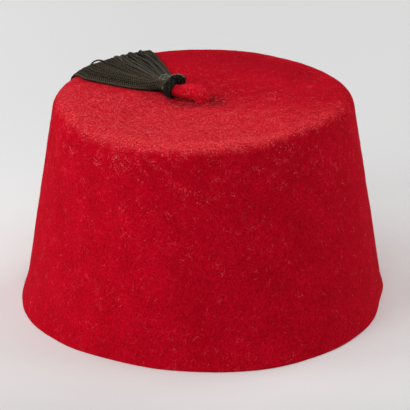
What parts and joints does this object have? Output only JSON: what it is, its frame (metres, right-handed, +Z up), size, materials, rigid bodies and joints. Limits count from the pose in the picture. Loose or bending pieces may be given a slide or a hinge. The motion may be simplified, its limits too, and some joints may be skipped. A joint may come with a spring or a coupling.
{
  "type": "fez hat",
  "caption": "Brimless truncated-cone felt hat, flat on top and open below, with a felt stem at the top and a short black tassel lying over the back edge.",
  "frame": {"origin": "middle of the rim, on the surface that the hat stands on", "axes": "+Z up through the top, the front towards -Y, and the tassel to the left and back, towards -X and +Y"},
  "size_m": [0.1883, 0.1861, 0.1195],
  "materials": {
    "red_felt": "matt pressed wool felt, slightly hairy",
    "bright_felt": "soft fuzzy wool felt",
    "black_fuzz": "frayed matt thread",
    "black_cord": "twisted cords with a low sheen"
  },
  "bodies": {
    "root": {"crown": "red_felt", "stem": "bright_felt", "tassel_collar": "black_fuzz", "tassel_skirt": "black_cord"}
  },
  "joints": []
}
